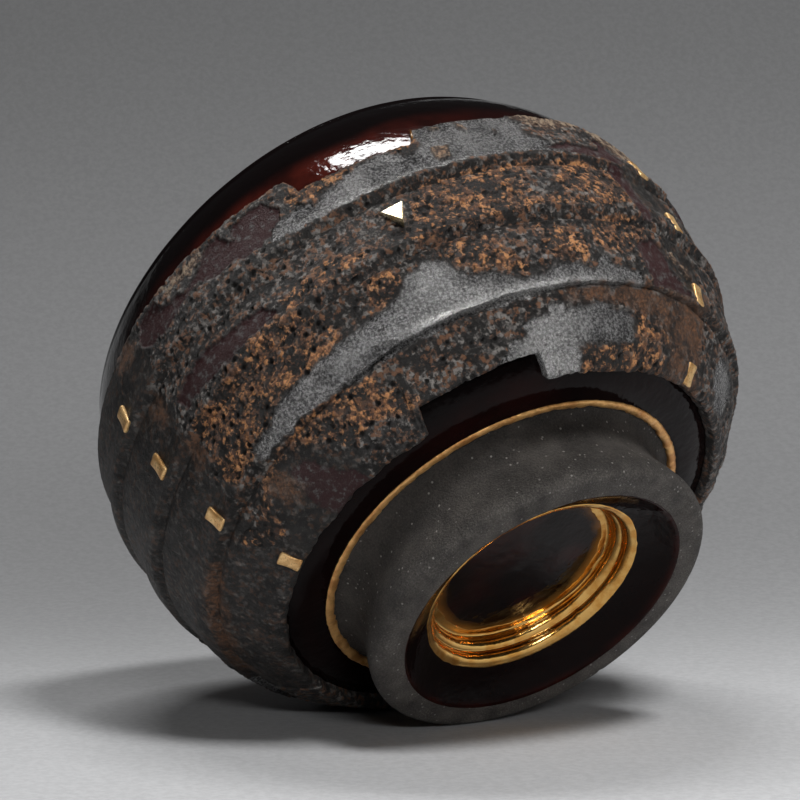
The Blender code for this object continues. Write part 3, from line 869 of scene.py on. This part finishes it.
def terracePoints(index):
    turn = columnTurns()
    levels = levelsAt(turn)
    spots = placed(turn, wallRadius(levels[index]), levels[index])
    ragged = 0.16 * lumps(spots, 1.1, 61 + index) + 0.22 * lumps(spots, 4.0, 65 + index)
    if index == 0:
        ragged *= 0.6
    low = levels[index] + ragged
    spots = placed(turn, wallRadius(levels[index + 1]), levels[index + 1])
    if index == 3:
        high = levels[4] + 0.26 * lumps(spots, 1.0, 71) + 0.24 * lumps(spots, 3.2, 72)
    else:
        high = levels[index + 1] + 0.4
    rows, openness = [], []

    def row(height, thickness, free):
        rows.append((height + 0.0 * turn, thickness + 0.0 * turn))
        openness.append(free + 0.0 * turn)

    lip = thicknessAt(turn, 0.0)
    if index == 0:
        row(low + 0.25, -0.4, 0.0)
        for share in (0.0, 0.25, 0.5, 0.75):
            row(low + 0.02, -0.1 + (lip - 0.25) * share, 0.35 * (share > 0.1))
        for share in (0.0, 0.5):
            row(low + 0.22 * share ** 2, lip - 0.25 + 0.2 * math.sqrt(share), 0.5)
        start = 0.32
    else:
        skirt = skirtOf(index, turn)
        base = thicknessAt(turn, 1.0) - 0.30
        row(low - skirt - 0.1, -0.4, 0.0)
        for share in np.linspace(0.0, 1.0, 10, endpoint=False):
            row(low - skirt * (1.0 - share), base + (lip - base) * (3.0 - 2.0 * share) * share ** 2,
                min(1.0, 0.25 + 1.2 * share))
        start = 0.0
    count = int(round((crust["terraces"][index] + 1.4) / crust["rowStep"]))
    cover = skirtOf(index + 1, turn) if index < 3 else None
    for share in np.linspace(0.0, 1.0, count):
        height = low + start + (high - low - start) * share
        part = np.clip((height - levels[index]) / (levels[index + 1] - levels[index]), 0.0, 1.0)
        thick = thicknessAt(turn, part)
        free = 1.0 + 0.0 * turn
        if index < 3:
            under = levels[index + 1] - cover
            free = smooth(under + 0.7, under - 0.3, height)
            thick = thick - 0.35 * smooth(under - 0.2, under + 0.6, height)
        else:
            thick = thick * (0.25 + 0.75 * np.sqrt(np.clip((high - height) / 0.7, 0.0, 1.0)))
        row(height, thick, free)
    row(high - 0.1, -0.1 if index == 3 else 0.2, 0.0)
    row(high - 0.3, -0.4, 0.0)
    heights = np.array([entry[0] for entry in rows])
    thick = np.array([entry[1] for entry in rows])
    radius, level = offsetWall(heights, thick)
    wide = turn[None, :] + 0.0 * heights
    return wide, heights, placed(wide, radius, level), np.array(openness)


def reliefTree():
    # fine relief of the crust: crumbs and pits where it is rough, a faint grain where it is smooth
    tree = bpy.data.node_groups.new("crustRelief", "GeometryNodeTree")
    face = tree.interface
    face.new_socket("Geometry", in_out="INPUT", socket_type="NodeSocketGeometry")
    for name, value in (("Crumb Size", 0.00115), ("Crumb Height", 0.00062), ("Pit Size", 0.0017),
                        ("Pit Depth", 0.00060), ("Layer Height", 0.00042), ("Grain Size", 0.0007),
                        ("Grain Height", 0.00009)):
        socket = face.new_socket(name, in_out="INPUT", socket_type="NodeSocketFloat")
        socket.default_value = value
    face.new_socket("Skin", in_out="INPUT", socket_type="NodeSocketMaterial")
    face.new_socket("Geometry", in_out="OUTPUT", socket_type="NodeSocketGeometry")
    start = put(tree, "NodeGroupInput").outputs
    place = put(tree, "GeometryNodeInputPosition").outputs[0]
    normal = put(tree, "GeometryNodeInputNormal").outputs[0]

    def named(name):
        return put(tree, "GeometryNodeInputNamedAttribute", {"Name": name}, data_type="FLOAT").outputs[0]

    def texture(kind, size, **settings):
        scale = maths(tree, "DIVIDE", 1.0, size)
        return put(tree, kind, {"Vector": place, "Scale": scale}, **settings)

    crumbs = texture("ShaderNodeTexVoronoi", start["Crumb Size"], feature="F1")
    fineCrumbs = texture("ShaderNodeTexVoronoi", times(tree, start["Crumb Size"], 0.55), feature="F1")
    swell = texture("ShaderNodeTexNoise", times(tree, start["Crumb Size"], 2.6))
    swell.inputs["Detail"].default_value = 4.0
    pits = texture("ShaderNodeTexVoronoi", start["Pit Size"], feature="F1")
    grain = texture("ShaderNodeTexNoise", start["Grain Size"])
    grain.inputs["Detail"].default_value = 4.0
    bump = weighed(tree, (ranged(tree, crumbs.outputs["Distance"], 0.75, 0.05), 0.42),
                   (ranged(tree, fineCrumbs.outputs["Distance"], 0.75, 0.05), 0.24),
                   (ranged(tree, swell.outputs[0], 0.30, 0.70), 0.42))
    pick = put(tree, "FunctionNodeSeparateColor", {"Color": pits.outputs["Color"]}).outputs[0]
    pit = times(tree, ranged(tree, pits.outputs["Distance"], 0.36, 0.14), ranged(tree, pick, 0.42, 0.5))
    crumble, lift, free = named("crumble"), named("lift"), named("open")
    rise = minus(tree, times(tree, minus(tree, bump, 0.42), start["Crumb Height"]),
                 times(tree, pit, start["Pit Depth"]))
    height = weighed(tree, (rise, times(tree, crumble, crumble)), (lift, start["Layer Height"]),
                     (minus(tree, grain.outputs[0], 0.5), start["Grain Height"]))
    height = times(tree, height, free)
    shift = put(tree, "ShaderNodeVectorMath", {0: normal, "Scale": height}, operation="SCALE").outputs[0]
    kept = put(tree, "GeometryNodeStoreNamedAttribute", {
        "Geometry": start["Geometry"], "Name": "crumbHeight",
        "Value": minus(tree, bump, pit, clamp=True)}, data_type="FLOAT", domain="POINT")
    moved = put(tree, "GeometryNodeSetPosition", {"Geometry": kept.outputs[0], "Offset": shift})
    real = put(tree, "GeometryNodeRealizeInstances", {"Geometry": moved.outputs[0]})
    skinned = put(tree, "GeometryNodeSetMaterial", {"Geometry": real.outputs[0], "Material": start["Skin"]})
    put(tree, "NodeGroupOutput", {0: skinned.outputs[0]})
    return tree


def grown(piece, tree, **inputs):
    # the tree's result as a plain mesh, with the modifier gone
    modifier = piece.modifiers.new("grown", "NODES")
    modifier.node_group = tree
    for item in tree.interface.items_tree:
        if item.in_out == "INPUT" and item.name in inputs:
            modifier[item.identifier] = inputs[item.name]
    graph = bpy.context.evaluated_depsgraph_get()
    mesh = bpy.data.meshes.new_from_object(piece.evaluated_get(graph), preserve_all_data_layers=True, depsgraph=graph)
    mesh.name = piece.name
    piece.modifiers.clear()
    piece.data = mesh
    return piece


def paintedHighlightAt(index, turn, heights):
    # where the smooth silvery slip gets a painted highlight, by the ledges
    above = heights - levelsAt(turn[0])[index]
    if index == 3:
        return smooth(3.6, 0.6, above) * smooth(27.0, 8.0, np.abs(turn - 2.0))
    if index == 1:
        ledge = smooth(1.6, 0.4, above) * smooth(24.0, 12.0, np.abs(turn - 14.0))
        return ledge + 0.25 * smooth(12.0, 4.0, np.abs(turn))
    return 0.75 * smooth(12.0, 3.0, np.abs(turn - 15.0)) if index == 0 else 0.0 * turn


def makeCrust():
    tree = reliefTree()
    for index in range(4):
        turn, heights, points, openness = terracePoints(index)
        kinds, lift, rough, paintedEdgeShadow = crustKinds(turn, heights, points)
        lift = lift * smooth(-0.1, 0.5, heights - levelsAt(turn[0])[index] + 0.3) if index else lift
        name = f"crust_terrace_{index + 1}"
        mesh = ringMesh(name, points, closed=True, fields={
            "rust": kinds["rust"] + 0.35 * kinds["chip"], "tan": kinds["tan"] + 0.5 * kinds["chip"],
            "silver": kinds["silver"], "oxblood": kinds["oxblood"], "brown": kinds["brown"],
            # the bright field is where the silvery slip carries its painted highlight
            "bright": kinds["silver"] * paintedHighlightAt(index, turn, heights),
            "crumble": rough, "lift": lift, "paintedEdgeShadow": paintedEdgeShadow, "open": openness})
        settle(grown(newPiece(name, mesh), tree, Skin=slipCrust))


makeCrust()


# gold: plates that clasp each ledge on three meridians, a cut triangle, and amber at the notch's ends
goldPlates = {
    "meridians": (-62.0, 58.6, 178.0), "drift": (0.0, 0.0, -1.0, -2.2),
    "middles": (18.55, 30.0, 44.9, 59.0), "lengths": (4.3, 4.3, 4.9, 5.0),
    "proud": 0.22,
    # metres, as the tree takes them
    "baseLength": 0.005, "width": 0.0031, "thickness": 0.0010, "dip": 0.00012, "waist": 0.14,
}


def crustSurface(turn, height, thickness):
    turn, height = np.array([float(turn)]), np.array([float(height)])
    radius, level = offsetWall(height, np.array([float(thickness)]))
    return placed(turn, radius, level)[0]


def makeGoldPlates():
    g = goldPlates
    spots, facings, reaches = [], [], []
    for meridian in g["meridians"]:
        for drift, middle, length in zip(g["drift"], g["middles"], g["lengths"]):
            turn = meridian + drift
            low, high = crustSurface(turn, middle - 1.2, 2.15), crustSurface(turn, middle + 1.2, 1.95)
            side = crustSurface(turn + 1.0, middle, 2.05) - crustSurface(turn - 1.0, middle, 2.05)
            along = Vector(high - low).normalized()
            across = (Vector(side) - along * Vector(side).dot(along)).normalized()
            outward = across.cross(along)
            spots.append((0.5 * (low + high) + g["proud"] * np.array(outward)) * mm)
            facings.append(Matrix((across, along, outward)).transposed().to_euler())
            reaches.append((1.0, length * mm / g["baseLength"], 1.0))
    mesh = bpy.data.meshes.new("gold_plates")
    mesh.from_pydata([tuple(spot) for spot in spots], [], [])
    mesh.attributes.new("facing", "FLOAT_VECTOR", "POINT").data.foreach_set("vector", np.array(facings).reshape(-1))
    mesh.attributes.new("reach", "FLOAT_VECTOR", "POINT").data.foreach_set("vector", np.array(reaches).reshape(-1))

    tree = bpy.data.node_groups.new("goldPlates", "GeometryNodeTree")
    tree.interface.new_socket("Geometry", in_out="INPUT", socket_type="NodeSocketGeometry")
    for name, value in (("Width", g["width"]), ("Thickness", g["thickness"]), ("Waist", g["waist"])):
        tree.interface.new_socket(name, in_out="INPUT", socket_type="NodeSocketFloat").default_value = value
    tree.interface.new_socket("Skin", in_out="INPUT", socket_type="NodeSocketMaterial")
    tree.interface.new_socket("Geometry", in_out="OUTPUT", socket_type="NodeSocketGeometry")
    start = put(tree, "NodeGroupInput").outputs
    size = put(tree, "ShaderNodeCombineXYZ", {0: start["Width"], 1: g["baseLength"], 2: start["Thickness"]}).outputs[0]
    plate = put(tree, "GeometryNodeMeshCube", {
        "Size": size, "Vertices X": 4, "Vertices Y": 7, "Vertices Z": 2}).outputs[0]
    spot = put(tree, "GeometryNodeInputPosition").outputs[0]
    parts = put(tree, "ShaderNodeSeparateXYZ", {0: spot}).outputs
    bow = maths(tree, "DIVIDE", parts[1], 0.5 * g["baseLength"])
    bow = minus(tree, 1.0, times(tree, bow, bow))
    pinch = minus(tree, 1.0, times(tree, bow, start["Waist"]))
    dip = minus(tree, parts[2], times(tree, bow, g["dip"]))
    shaped = put(tree, "ShaderNodeCombineXYZ", {0: times(tree, parts[0], pinch), 1: parts[1], 2: dip})
    waisted = put(tree, "GeometryNodeSetPosition", {"Geometry": plate, "Position": shaped.outputs[0]}).outputs[0]
    rounded = put(tree, "GeometryNodeSubdivisionSurface", {"Mesh": waisted, "Level": 1}).outputs[0]

    def named(name):
        return put(tree, "GeometryNodeInputNamedAttribute", {"Name": name}, data_type="FLOAT_VECTOR").outputs[0]

    laid = put(tree, "GeometryNodeInstanceOnPoints", {
        "Points": start["Geometry"], "Instance": rounded, "Rotation": named("facing"), "Scale": named("reach")})
    real = put(tree, "GeometryNodeRealizeInstances", {"Geometry": laid.outputs[0]})
    smoothed = put(tree, "GeometryNodeSetShadeSmooth", {"Geometry": real.outputs[0]})
    skinned = put(tree, "GeometryNodeSetMaterial", {"Geometry": smoothed.outputs[0], "Material": start["Skin"]})
    put(tree, "NodeGroupOutput", {0: skinned.outputs[0]})
    settle(grown(newPiece("gold_plates", mesh), tree, Skin=plateGold))


def makeTriangle():
    # a raised three-sided chip: bright face, bevelled sides
    corners = [(-3.3, 52.2), (1.2, 52.7), (-0.9, 47.7)]
    middle = np.mean(corners, axis=0)
    rings = []
    for inset, thickness in ((1.04, 0.6), (1.04, 1.9), (0.97, 2.55), (0.86, 2.68)):
        ring = []
        for first, second in zip(corners, corners[1:] + corners[:1]):
            for share in (0.0, 0.06, 0.5, 0.94):
                spot = middle + (np.array(first) * (1 - share) + np.array(second) * share - middle) * inset
                tilt = 0.26 * (50.9 - spot[1]) if thickness > 1.0 else 0.0
                ring.append(crustSurface(spot[0], spot[1], thickness + tilt))
        rings.append(ring[::-1])
    points = np.array(rings)
    mesh = ringMesh("gold_triangle", points, startPole=points[0].mean(axis=0), endPole=points[-1].mean(axis=0))
    mesh.polygons.foreach_set("use_smooth", [False] * len(mesh.polygons))
    settle(newPiece("gold_triangle", mesh, chipGold))


# each strip's two ends, and which way round the bowl it leans
notchEdges = (((-14.6, 71.6), (-13.1, 66.9), 1.0), ((9.6, 66.6), (11.0, 70.9), -1.0))


def makeNotchEdges():
    # thin amber glaze that gathers against the broken-out ends of the crust
    for number, ((turnA, lowA), (turnB, lowB), inward) in enumerate(notchEdges):
        rings = []
        for share in np.linspace(0.0, 1.0, 19):
            taper = math.sin(math.pi * min(max(share, 0.04), 0.96)) ** 0.4
            ring = []
            for swing in np.radians(np.arange(0.0, 360.0, 45.0)):
                turn = turnA + (turnB - turnA) * share + inward * (0.22 + 0.30 * taper * math.cos(swing))
                ring.append(crustSurface(turn, lowA + (lowB - lowA) * share, 0.35 + 0.72 * taper * math.sin(swing)))
            rings.append(ring if number else ring[::-1])
        points = np.array(rings)
        name = f"amber_edge_{number + 1}"
        mesh = ringMesh(name, points, startPole=points[0].mean(axis=0), endPole=points[-1].mean(axis=0))
        settle(newPiece(name, mesh, amberGlaze))


makeGoldPlates()
makeTriangle()
makeNotchEdges()


# the table: tilted a little against the bowl as in the photo, rising behind it into the backdrop
back = Vector((0.79816836, -0.21386857, -0.56319402))
upward = Vector((0.59805489, 0.39381642, 0.69802506))
rightward = Vector((-0.07250943, 0.89396245, -0.44223695))
tableTilt = math.radians(4.5)
tableNormal = (math.cos(tableTilt) * upward + math.sin(tableTilt) * back).normalized()
tableAway = rightward.cross(tableNormal).normalized()
tableAway = tableAway if tableAway.dot(back) < 0 else -tableAway
tableLevel = -0.0226
print("table faces", [round(value, 4) for value in tableNormal])

# the paper's tones paint the light's fall-off into its colour: lighter near the front and towards one side, darker up
# the backdrop
stage = {"wide": 1.8, "near": 0.45, "bendFrom": 0.135, "bend": 0.40, "bendTurn": 62.0,
         "nearPaintedLight": 0.58, "midTone": 0.205, "topPaintedShade": 0.106, "sidePaintedLight": 0.30}


def makeStage():
    profile = [(away, 0.0) for away in np.linspace(-stage["near"], stage["bendFrom"], 40)]
    for swing in np.radians(np.linspace(0.0, stage["bendTurn"], 33)[1:]):
        profile.append((stage["bendFrom"] + stage["bend"] * math.sin(swing), stage["bend"] * (1.0 - math.cos(swing))))
    vertices, faces, tones = [], [], []
    sides = np.linspace(-0.5, 0.5, 25)
    for away, high in profile:
        for side in sides:
            vertices.append(tableNormal * (tableLevel + high) + tableAway * away + rightward * side * stage["wide"])
            # painted light: lighter towards the front, darker up the backdrop
            near = smooth(0.26, -0.06, away)
            tone = stage["midTone"] + (stage["nearPaintedLight"] - stage["midTone"]) * near
            tone += (stage["topPaintedShade"] - stage["midTone"]) * smooth(0.0, 0.16, high)
            # painted shade: the paper goes nearly black in front of the camera's view and far out to the sides
            tone *= 0.06 + 0.94 * smooth(-0.20, -0.10, away) * smooth(0.50, 0.24, abs(side * stage["wide"]))
            # painted light: one side of the paper lighter than the other
            tilt = np.clip(side * stage["wide"] / 0.10, -1.0, 1.0)
            tones.append(tone * (1.0 + stage["sidePaintedLight"] * (0.35 + 0.65 * near * (1.0 - near) * 4.0) * 0.5 * tilt))
    across = len(sides)
    for row in range(len(profile) - 1):
        for column in range(across - 1):
            corner = row * across + column
            faces.append((corner, corner + 1, corner + across + 1, corner + across))
    mesh = bpy.data.meshes.new("paper_sweep")
    mesh.from_pydata([tuple(vertex) for vertex in vertices], [], faces)
    mesh.attributes.new("tone", "FLOAT", "POINT").data.foreach_set("value", np.array(tones, dtype=np.float32))
    mesh.update()
    if mesh.polygons[0].normal.dot(tableNormal) < 0:
        mesh.flip_normals()
    mesh.polygons.foreach_set("use_smooth", [True] * len(mesh.polygons))
    material, tree, shader, place = startMaterial("paper", roughness=0.75)
    tone = times(tree, fieldsOf(tree, "tone")[0], ranged(
        tree, noiseAt(tree, place, 0.0016, 3.0, 0.7), 0.3, 0.7, 0.93, 1.07))
    grey = put(tree, "ShaderNodeCombineColor", {0: tone, 1: times(tree, tone, 1.005), 2: times(tree, tone, 1.02)})
    tree.links.new(grey.outputs[0], shader.inputs["Base Color"])
    facing = put(tree, "ShaderNodeNewGeometry").outputs["Backfacing"]
    unseen = put(tree, "ShaderNodeBsdfTransparent").outputs[0]
    both = put(tree, "ShaderNodeMixShader", {0: facing, 1: shader.outputs[0], 2: unseen})
    tree.links.new(both.outputs[0], tree.nodes["Material Output"].inputs["Surface"])
    newPiece("paper_sweep", mesh, material)
    print("stage made")


makeStage()


def inFrame(right, up, toCamera):
    # a direction given as the photo sees it
    return rightward * right + upward * up + back * toCamera


def aimed(name, data, spot, aside, upright, toward):
    # puts a lamp or a camera in place, looking against the last of its three directions
    thing = bpy.data.objects.new(name, data)
    bpy.context.scene.collection.objects.link(thing)
    thing.matrix_world = Matrix.Translation(spot) @ Matrix((aside, upright, toward)).transposed().to_4x4()
    return thing


# direction as the photo sees it, width and height in metres, and power
lamps = {
    "overhead_softbox": ((-0.12, 0.955, -0.27), 0.66, 0.20, 9),
    "front_softbox": ((0.27, 0.86, 0.44), 0.34, 0.34, 15.5),
    "front_strip": ((0.18, 0.27, 0.94), 0.5, 0.12, 5),
}
lampDistance = 1.5
bowlMiddle = Vector((0, 0, 0.045))
for name, (direction, wide, tall, power) in lamps.items():
    data = bpy.data.lights.new(name, "AREA")
    data.shape = "RECTANGLE"
    data.size, data.size_y, data.energy = wide, tall, power
    toward = inFrame(*direction).normalized()
    aside = (rightward - toward * rightward.dot(toward)).normalized()
    aimed(name, data, bowlMiddle + toward * lampDistance, aside, toward.cross(aside).normalized(), toward)

world = bpy.data.worlds.new("studio")
bpy.context.scene.world = world
world.use_nodes = True
world.node_tree.nodes["Background"].inputs["Color"].default_value = (0.30, 0.30, 0.31, 1)
world.node_tree.nodes["Background"].inputs["Strength"].default_value = 0.05

lens = bpy.data.cameras.new("photo_camera")
lens.lens, lens.sensor_width, lens.clip_start, lens.clip_end = 157.5, 36.0, 0.01, 20.0
photoSpot = (0.530725, -0.144540, -0.317779)
bpy.context.scene.camera = aimed("photo_camera", lens, photoSpot, rightward, upward, back)
bpy.context.scene.view_settings.view_transform = "Standard"
print("lamps and camera made")
